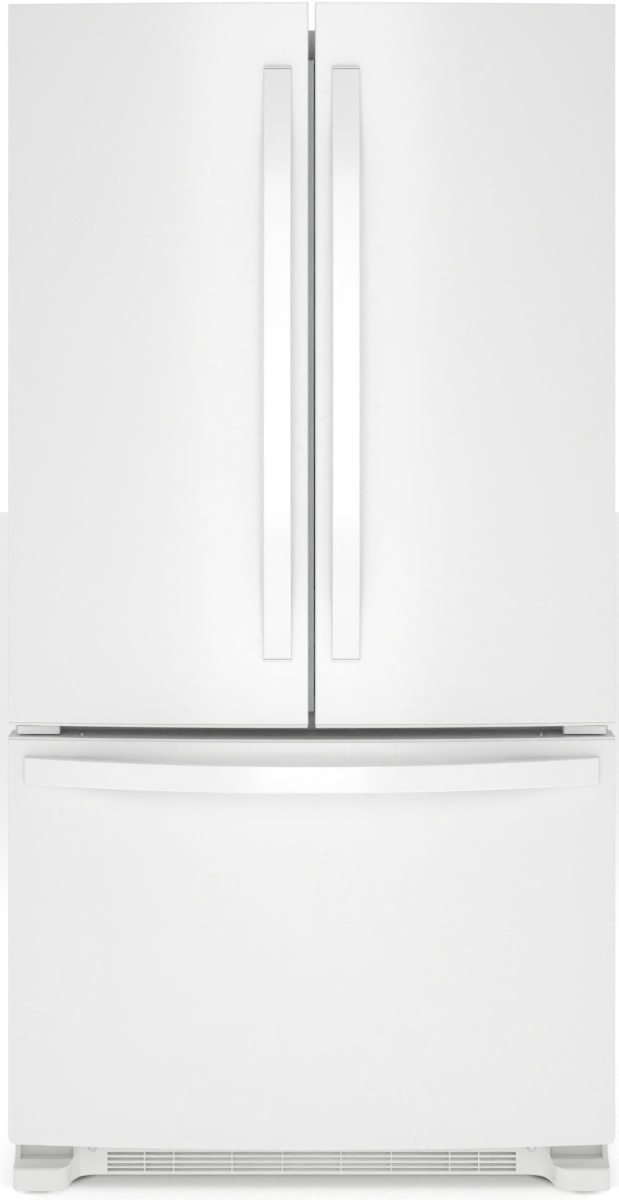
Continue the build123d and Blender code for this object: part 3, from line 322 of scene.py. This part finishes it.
# ---- Door end caps: injection-moulded white strips that close the foamed panel under each door.
# They stand back from the enamel by the thickness of its folded hem and take the hinge pin from below.
cap_plastic, tree, shader = new_material("cap_plastic")
two_tones(tree, object_noise(tree, 8.0, 3), shader, (0.77, 0.77, 0.766), (0.80, 0.80, 0.796))
vary_roughness(tree, object_noise(tree, 30.0, 3), shader, 0.36, 0.46)
relief(tree, object_noise(tree, 1400.0, 2), shader, 0.15, 0.0001)


def end_cap(name, left, right, low, high, inset, body):
    """A strip of the panel's own plan, stepped in a little along its front."""
    bm = plan_of_panel(left + inset, right - inset, 48)
    for vert in bm.verts:
        vert.co.y += inset if vert.co.y < SKIN_BACK - 0.001 else 0.0
    bmesh.ops.translate(bm, verts=bm.verts[:], vec=(0.0, 0.0, low))
    raise_faces(bm, bm.faces[:], high - low)
    bmesh.ops.recalc_face_normals(bm, faces=bm.faces[:])
    round_front(bm, 0.0009)
    cap = make_piece(name, bm, cap_plastic, body)
    even_normals(cap)


end_cap("door_left_end_cap", -HALF_WIDTH, -HALF_GAP, CAP_LOW, DOOR_LOW, 0.0008, "door_left")
end_cap("door_right_end_cap", HALF_GAP, HALF_WIDTH, CAP_LOW, DOOR_LOW, 0.0008, "door_right")


# ---- Freezer drawer front: the same pressed and enamelled steel, one panel the full width of the cabinet.
# Its lower corners are rounded, its bow carries on the line of the doors, and a moulded cap closes its top.
DRAWER_LOW, DRAWER_HIGH, DRAWER_SEAM, DRAWER_CAP_TOP = 0.083, 0.6868, 0.6876, 0.6905
bm = plan_of_panel(-HALF_WIDTH, HALF_WIDTH, 72)
bmesh.ops.translate(bm, verts=bm.verts[:], vec=(0.0, 0.0, DRAWER_LOW))
raise_faces(bm, bm.faces[:], DRAWER_HIGH - DRAWER_LOW)
bmesh.ops.recalc_face_normals(bm, faces=bm.faces[:])
corners = []
for edge in bm.edges:
    a, b = edge.verts
    if a.co.z < 0.09 and b.co.z < 0.09 and min(abs(a.co.x), abs(b.co.x)) > 0.452:
        corners.append(edge)
bmesh.ops.bevel(bm, geom=corners, offset=0.011, segments=6, profile=0.5, affect="EDGES", material=-1)
cut_level(bm, DRAWER_LOW + 0.012, 0.3, 0.5, DRAWER_HIGH - 0.006)
round_front(bm, 0.0022)
open_back(bm)
skin = make_piece("drawer_enamel", bm, enamel, "freezer_drawer", ("drawer_skin",))
sheet_wall(skin, SHEET)
even_normals(skin)
end_cap("drawer_end_cap", -HALF_WIDTH, HALF_WIDTH, DRAWER_SEAM, DRAWER_CAP_TOP, 0.0002, "freezer_drawer")
SEAM_LOW, SEAM_INSET = DRAWER_HIGH - 0.001, 0.0014
end_cap("drawer_cap_seam", -HALF_WIDTH, HALF_WIDTH, SEAM_LOW, DRAWER_SEAM, SEAM_INSET, "freezer_drawer")


# ---- Screws: domed zinc-plated heads with a six-lobed recess.
# One piece holds the hinges, the grille and the rear cover to the cabinet, the other the drawer's cap.
zinc, tree, shader = new_material("bright_zinc")
shader.inputs["Metallic"].default_value = 1.0
two_tones(tree, object_noise(tree, 120.0, 3), shader, (0.60, 0.60, 0.61), (0.74, 0.74, 0.75))
vary_roughness(tree, object_noise(tree, 200.0, 3), shader, 0.22, 0.34)

LOBES, RIM_POINTS = 6, 36


def add_screw(bm, place, turn, radius, height):
    """One head, made upright at the origin, then turned and moved to its face."""
    before = set(bm.verts)
    made = bmesh.ops.create_cone(
        bm, cap_ends=True, segments=RIM_POINTS, radius1=radius, radius2=radius * 0.62, depth=height
    )["verts"]
    highest = max(made, key=lambda vert: vert.co.z)
    top = [face for face in highest.link_faces if len(face.verts) == RIM_POINTS]
    bmesh.ops.inset_region(bm, faces=top, thickness=radius * 0.14, use_even_offset=True)
    for vert in top[0].verts:
        bearing = math.atan2(vert.co.y, vert.co.x)
        lobe = 0.86 + 0.14 * math.cos(LOBES * bearing)
        vert.co.x *= lobe
        vert.co.y *= lobe
    socket = bmesh.ops.extrude_face_region(bm, geom=top)["geom"]
    floor_verts = [part for part in socket if isinstance(part, bmesh.types.BMVert)]
    bmesh.ops.translate(bm, verts=floor_verts, vec=(0.0, 0.0, -0.6 * height))
    bmesh.ops.delete(bm, geom=top, context="FACES_ONLY")
    whole = [vert for vert in bm.verts if vert not in before]
    bmesh.ops.translate(bm, verts=whole, vec=(0.0, 0.0, height / 2.0))
    bmesh.ops.rotate(bm, verts=whole, cent=(0.0, 0.0, 0.0), matrix=turn)
    bmesh.ops.translate(bm, verts=whole, vec=place)


UPRIGHT = Matrix.Identity(3)
TO_FRONT = Matrix.Rotation(math.radians(90.0), 3, "X")
TO_REAR = Matrix.Rotation(math.radians(-90.0), 3, "X")
bm = bmesh.new()
for sign in (-1.0, 1.0):
    add_screw(bm, (sign * 0.331, -0.300, 0.063), TO_FRONT, 0.0068, 0.0048)
    for y in (-0.250, -0.206):
        add_screw(bm, (sign * 0.385, y, 1.755), UPRIGHT, 0.0064, 0.0048)
    for x in (0.436, 0.200):
        add_screw(bm, (sign * x, 0.447, 0.290), TO_REAR, 0.0049, 0.0029)
make_piece("cabinet_screws", bm, zinc, "cabinet", ("fasteners",))
bm = bmesh.new()
for sign in (-1.0, 1.0):
    add_screw(bm, (sign * 0.343, -0.338, DRAWER_CAP_TOP), UPRIGHT, 0.0049, 0.0039)
make_piece("drawer_cap_screws", bm, zinc, "freezer_drawer")


# ---- Handles: flat bars bent to a long bow, cast ends landing on the panels, enamelled the same white.
# Two stand upright beside the door gap, and one lies across the drawer.
handle_enamel, tree, shader = new_material("handle_enamel")
two_tones(tree, object_noise(tree, 5.0, 3), shader, (0.85, 0.85, 0.848), (0.87, 0.87, 0.869))
vary_roughness(tree, object_noise(tree, 14.0, 4), shader, 0.22, 0.30)
relief(tree, object_noise(tree, 520.0, 2), shader, 0.10, 0.00015)
shader.inputs["Coat Weight"].default_value = 0.3
shader.inputs["Coat Roughness"].default_value = 0.10

BAR_FRONT, BAR_THICKNESS, BAR_FOOT = -0.450, 0.016, 0.062
BAR_STEPS, TIP_ROUND, LONG_ROUND, NEAR = 56, 0.0042, 0.0022, 0.0001


def arc_depth(along, half, end_y, middle_y):
    """Depth of a shallow arc at a distance from its middle."""
    rise = end_y - middle_y
    radius = (half * half + rise * rise) / (2.0 * rise)
    return middle_y + radius - math.sqrt(radius * radius - along * along)


def sharp_edges(bm):
    """Every edge where two faces meet at a steep angle."""
    found = []
    for edge in bm.edges:
        if len(edge.link_faces) == 2 and edge.link_faces[0].normal.dot(edge.link_faces[1].normal) < 0.4:
            found.append(edge)
    return found


def bowed_bar(width, half, end_y, foot_y, seat):
    """A bar along Z about the origin, its back let down onto the panel at both feet."""
    bm = bmesh.new()
    bmesh.ops.create_cube(bm, size=1.0)
    bmesh.ops.scale(bm, verts=bm.verts[:], vec=(width, 1.0, 2.0 * half))
    cuts = [half * (-1.0 + 2.0 * step / BAR_STEPS) for step in range(1, BAR_STEPS)]
    for cut in cuts + [half - BAR_FOOT, BAR_FOOT - half]:
        everything = bm.verts[:] + bm.edges[:] + bm.faces[:]
        bmesh.ops.bisect_plane(
            bm, geom=everything, plane_co=(0.0, 0.0, cut), plane_no=(0.0, 0.0, 1.0), dist=1e-5
        )
    for vert in bm.verts:
        along = min(abs(vert.co.z), half)
        if vert.co.y < 0:
            vert.co.y = arc_depth(along, half, end_y, BAR_FRONT)
        else:
            landed = seat(along) + 0.0005
            inner = half - BAR_FOOT
            back = arc_depth(min(along, inner), inner, foot_y, BAR_FRONT + BAR_THICKNESS)
            vert.co.y = landed if along >= inner - 1e-5 else min(back, landed)
    bmesh.ops.recalc_face_normals(bm, faces=bm.faces[:])
    tips = []
    for edge in sharp_edges(bm):
        if all(abs(vert.co.z) > half - NEAR and vert.co.y < end_y + NEAR for vert in edge.verts):
            tips.append(edge)
    bmesh.ops.bevel(bm, geom=tips, offset=TIP_ROUND, segments=3, profile=0.5, affect="EDGES", material=-1)
    sharp = sharp_edges(bm)
    bmesh.ops.bevel(bm, geom=sharp, offset=LONG_ROUND, segments=4, profile=0.5, affect="EDGES", material=-1)
    return bm


def keep_between(bm, low, high):
    """Saws a bar off square at two heights and closes the cuts."""
    for height, side in ((low, -1.0), (high, 1.0)):
        everything = bm.verts[:] + bm.edges[:] + bm.faces[:]
        cut = bmesh.ops.bisect_plane(
            bm, geom=everything, plane_co=(0.0, 0.0, height), plane_no=(0.0, 0.0, side), clear_outer=True
        )["geom_cut"]
        rim = [part for part in cut if isinstance(part, bmesh.types.BMEdge)]
        bmesh.ops.holes_fill(bm, edges=rim)


UPRIGHT_HALF, UPRIGHT_X, UPRIGHT_MIDDLE_Z = 0.4405, 0.0505, 1.2465
DRAWER_HALF, DRAWER_BAR_Z = 0.428, 0.6415
TIP_SEAM, SEAM_WIDTH = 0.0052, 0.0008
for side, sign in (("left", -1.0), ("right", 1.0)):
    tip_low, bar_low = UPRIGHT_HALF - TIP_SEAM + SEAM_WIDTH, UPRIGHT_HALF - TIP_SEAM
    for name, low, high, stands_for in (
        ("bar", -bar_low, bar_low, (f"door_{side}_handle",)),
        ("bar_top_tip", tip_low, 1.0, ()),
        ("bar_low_tip", -1.0, -tip_low, ()),
    ):
        bm = bowed_bar(0.041, UPRIGHT_HALF, bow(0.030) - 0.009, -0.380, lambda along: bow(0.050))
        keep_between(bm, low, high)
        bmesh.ops.translate(bm, verts=bm.verts[:], vec=(sign * UPRIGHT_X, 0.0, UPRIGHT_MIDDLE_Z))
        bmesh.ops.recalc_face_normals(bm, faces=bm.faces[:])
        bar = make_piece(
            f"door_{side}_{name}", bm, handle_enamel, f"door_{side}", stands_for
        )
        even_normals(bar)

bm = bowed_bar(0.040, DRAWER_HALF, bow(DRAWER_HALF) - 0.009, bow(DRAWER_HALF - BAR_FOOT) + 0.002, bow)
TO_SIDE = Matrix.Rotation(math.radians(90.0), 3, "Y")
bmesh.ops.rotate(bm, verts=bm.verts[:], cent=(0.0, 0.0, 0.0), matrix=TO_SIDE)
bmesh.ops.translate(bm, verts=bm.verts[:], vec=(0.0, 0.0, DRAWER_BAR_Z))
bmesh.ops.recalc_face_normals(bm, faces=bm.faces[:])
bar = make_piece("drawer_bar", bm, handle_enamel, "freezer_drawer", ("drawer_handle",))
even_normals(bar)


# ---- Cabinet: a folded steel wrap in the same enamel, with the hinge brackets screwed to it.
# The sides and top show a slightly deeper orange-peel than the doors.
cabinet_enamel, tree, shader = new_material("cabinet_enamel")
two_tones(tree, object_noise(tree, 1.8, 3), shader, (0.80, 0.80, 0.797), (0.825, 0.825, 0.822))
vary_roughness(tree, object_noise(tree, 7.0, 4), shader, 0.30, 0.40)
relief(tree, object_noise(tree, 300.0, 3), shader, 0.2, 0.0003)


def finish(material, *names):
    """Gives carried-over pieces their finish."""
    for name in names:
        slots = nodes[name].data.materials
        slots.clear()
        slots.append(material)


finish(cabinet_enamel, "cabinet_shell", "door_hinges", "shelf_ladders")

white_moulding, tree, shader = new_material("white_moulding")
two_tones(tree, object_noise(tree, 8.0, 3), shader, (0.79, 0.79, 0.785), (0.815, 0.815, 0.81))
vary_roughness(tree, object_noise(tree, 30.0, 3), shader, 0.38, 0.48)
relief(tree, object_noise(tree, 1400.0, 2), shader, 0.15, 0.0001)
finish(white_moulding, "base_grille", "hinge_covers", "shelf_frames", "control_housing")
finish(white_moulding, "upper_basket", "lower_basket")


# ---- Grille vanes: thin moulded slats behind the slots of the toe grille, which let air pass.
# Each leans back from the lower lip of its slot and runs the full width of the slotted field.
VANE_HALF, VANE_HEIGHT, VANE_DEPTH = 0.309, 0.0066, 0.0058
bm = bmesh.new()
for slot_middle in (0.0278, 0.0352, 0.0438, 0.0520):
    vane = bmesh.ops.create_grid(bm, x_segments=1, y_segments=1, size=0.5)["verts"]
    for vert in vane:
        vert.co.x *= 2.0 * VANE_HALF
        up = vert.co.y + 0.5
        vert.co.y = -0.2985 + up * VANE_DEPTH
        vert.co.z = slot_middle - 0.0030 + up * VANE_HEIGHT
bmesh.ops.recalc_face_normals(bm, faces=bm.faces[:])
vanes = make_piece("grille_vanes", bm, white_moulding, "cabinet")
sheet_wall(vanes, 0.0008)


# ---- Lamp lens: a frosted cover let into the ceiling housing, lit from above by its lamp.
# It comes in two windows with a plain rib between them, each rounded where it snaps in.
lens_plastic, tree, shader = new_material("lens_plastic")
two_tones(tree, object_noise(tree, 25.0, 2), shader, (0.88, 0.89, 0.90), (0.93, 0.94, 0.95))
vary_roughness(tree, object_noise(tree, 60.0, 2), shader, 0.45, 0.6)
shader.inputs["Emission Color"].default_value = (1.0, 0.98, 0.95, 1.0)
shader.inputs["Emission Strength"].default_value = 4.0


LENS_THICKNESS, LENS_DEPTH, LENS_Y, HOUSING_Z = 0.0032, 0.096, -0.020, 1.6749


def flush_panel(name, left, right, material, drop):
    """A flat moulding with rounded corners, let into the recess of the housing."""
    bm = bmesh.new()
    bmesh.ops.create_cube(bm, size=1.0)
    thickness = LENS_THICKNESS + drop
    middle = ((left + right) / 2.0, LENS_Y, HOUSING_Z - thickness / 2.0)
    bmesh.ops.scale(bm, verts=bm.verts[:], vec=(right - left, LENS_DEPTH, thickness))
    bmesh.ops.translate(bm, verts=bm.verts[:], vec=middle)
    upright = [edge for edge in bm.edges if abs(edge.verts[0].co.z - edge.verts[1].co.z) > 0.003]
    bmesh.ops.bevel(bm, geom=upright, offset=0.006, segments=5, profile=0.5, affect="EDGES", material=-1)
    lowest = min(vert.co.z for vert in bm.verts)
    under = [edge for edge in bm.edges if max(edge.verts[0].co.z, edge.verts[1].co.z) < lowest + 0.0001]
    bmesh.ops.bevel(bm, geom=under, offset=0.0010, segments=2, profile=0.5, affect="EDGES", material=-1)
    bmesh.ops.recalc_face_normals(bm, faces=bm.faces[:])
    panel = make_piece(name, bm, material, "cabinet")
    even_normals(panel)


flush_panel("lamp_lens_left", -0.118, -0.021, lens_plastic, 0.0)
flush_panel("lamp_lens_right", 0.021, 0.118, lens_plastic, 0.0)
flush_panel("lamp_rib", -0.020, 0.020, white_moulding, 0.0024)


# ---- Galvanised sheet: the back, the machine cover, the base pan, the slides and the leveling legs.
# Its zinc shows as faint spangles.
galvanised, tree, shader = new_material("galvanised_sheet")
shader.inputs["Metallic"].default_value = 1.0
place = tree.nodes.new("ShaderNodeTexCoord")
spangle = tree.nodes.new("ShaderNodeTexVoronoi")
spangle.inputs["Scale"].default_value = 90.0
tree.links.new(place.outputs["Object"], spangle.inputs["Vector"])
ramp = tree.nodes.new("ShaderNodeValToRGB")
ramp.color_ramp.elements[0].color = (0.50, 0.51, 0.52, 1.0)
ramp.color_ramp.elements[1].color = (0.66, 0.67, 0.68, 1.0)
tree.links.new(spangle.outputs["Color"], ramp.inputs["Fac"])
tree.links.new(ramp.outputs["Color"], shader.inputs["Base Color"])
vary_roughness(tree, object_noise(tree, 40.0, 3), shader, 0.32, 0.5)
finish(galvanised, "back_panel", "machine_cover", "base_pan")
finish(galvanised, "slide_cabinet_rails", "slide_middle_rails", "slide_drawer_rails")
finish(galvanised, "leveling_leg_left", "leveling_leg_right")


# ---- Foam: the pale rigid filling of the cabinet and doors, seen only where a panel is off.
foam, tree, shader = new_material("rigid_foam")
two_tones(tree, object_noise(tree, 60.0, 4), shader, (0.70, 0.62, 0.38), (0.80, 0.73, 0.50))
vary_roughness(tree, object_noise(tree, 90.0, 3), shader, 0.85, 0.95)
relief(tree, object_noise(tree, 500.0, 3), shader, 0.5, 0.0006)
finish(foam, "cabinet_foam", "door_left_core", "door_right_core", "drawer_core")


# ---- Liners and inner mouldings: vacuum-formed white plastic, cooler and softer in gloss than the enamel.
liner_plastic, tree, shader = new_material("liner_plastic")
two_tones(tree, object_noise(tree, 3.0, 3), shader, (0.80, 0.815, 0.82), (0.83, 0.845, 0.85))
vary_roughness(tree, object_noise(tree, 20.0, 3), shader, 0.30, 0.40)
relief(tree, object_noise(tree, 700.0, 2), shader, 0.15, 0.00015)
finish(liner_plastic, "fridge_liner", "freezer_liner", "air_duct", "evaporator_cover")
finish(liner_plastic, "door_left_liner", "door_right_liner", "drawer_liner")

gasket_vinyl, tree, shader = new_material("gasket_vinyl")
two_tones(tree, object_noise(tree, 25.0, 3), shader, (0.68, 0.69, 0.70), (0.74, 0.75, 0.76))
vary_roughness(tree, object_noise(tree, 60.0, 3), shader, 0.55, 0.68)
finish(gasket_vinyl, "door_left_gasket", "door_right_gasket", "drawer_gasket")

clear_plastic, tree, shader = new_material("clear_plastic")
two_tones(tree, object_noise(tree, 12.0, 2), shader, (0.92, 0.95, 0.96), (0.97, 0.98, 0.99))
vary_roughness(tree, object_noise(tree, 40.0, 3), shader, 0.04, 0.10)
shader.inputs["Transmission Weight"].default_value = 0.86
shader.inputs["IOR"].default_value = 1.3
finish(clear_plastic, "door_left_bins", "door_right_bins", "dairy_lid")
finish(clear_plastic, "crisper_left", "crisper_right", "pantry_drawer")

shelf_pane, tree, shader = new_material("tempered_pane")
two_tones(tree, object_noise(tree, 10.0, 2), shader, (0.86, 0.95, 0.93), (0.92, 0.98, 0.97))
vary_roughness(tree, object_noise(tree, 30.0, 2), shader, 0.02, 0.05)
shader.inputs["Transmission Weight"].default_value = 1.0
shader.inputs["IOR"].default_value = 1.45
finish(shelf_pane, "shelf_glass")

grey_moulding, tree, shader = new_material("grey_moulding")
two_tones(tree, object_noise(tree, 15.0, 3), shader, (0.36, 0.37, 0.38), (0.42, 0.43, 0.44))
vary_roughness(tree, object_noise(tree, 50.0, 3), shader, 0.45, 0.55)
finish(grey_moulding, "mullion_bar", "ice_maker", "ice_ejector")
finish(grey_moulding, "humidity_slider_left", "humidity_slider_right")


# ---- Working parts: finned aluminium, black-painted steel, dark wheels and the plated ice arm.
fin_aluminium, tree, shader = new_material("fin_aluminium")
shader.inputs["Metallic"].default_value = 1.0
two_tones(tree, object_noise(tree, 50.0, 3), shader, (0.66, 0.67, 0.68), (0.78, 0.79, 0.80))
vary_roughness(tree, object_noise(tree, 80.0, 3), shader, 0.28, 0.42)
finish(fin_aluminium, "evaporator_coil")

black_paint, tree, shader = new_material("black_paint")
two_tones(tree, object_noise(tree, 20.0, 3), shader, (0.018, 0.018, 0.019), (0.035, 0.035, 0.036))
vary_roughness(tree, object_noise(tree, 60.0, 3), shader, 0.35, 0.5)
relief(tree, object_noise(tree, 400.0, 2), shader, 0.2, 0.0003)
finish(black_paint, "compressor", "condenser_unit")

wheel_plastic, tree, shader = new_material("wheel_plastic")
two_tones(tree, object_noise(tree, 40.0, 3), shader, (0.045, 0.045, 0.048), (0.075, 0.075, 0.078))
vary_roughness(tree, object_noise(tree, 90.0, 3), shader, 0.5, 0.65)
finish(wheel_plastic, "evaporator_fan", "condenser_fan", "front_roller_left", "front_roller_right")
finish(wheel_plastic, "rear_roller_left", "rear_roller_right")

finish(zinc, "ice_arm")
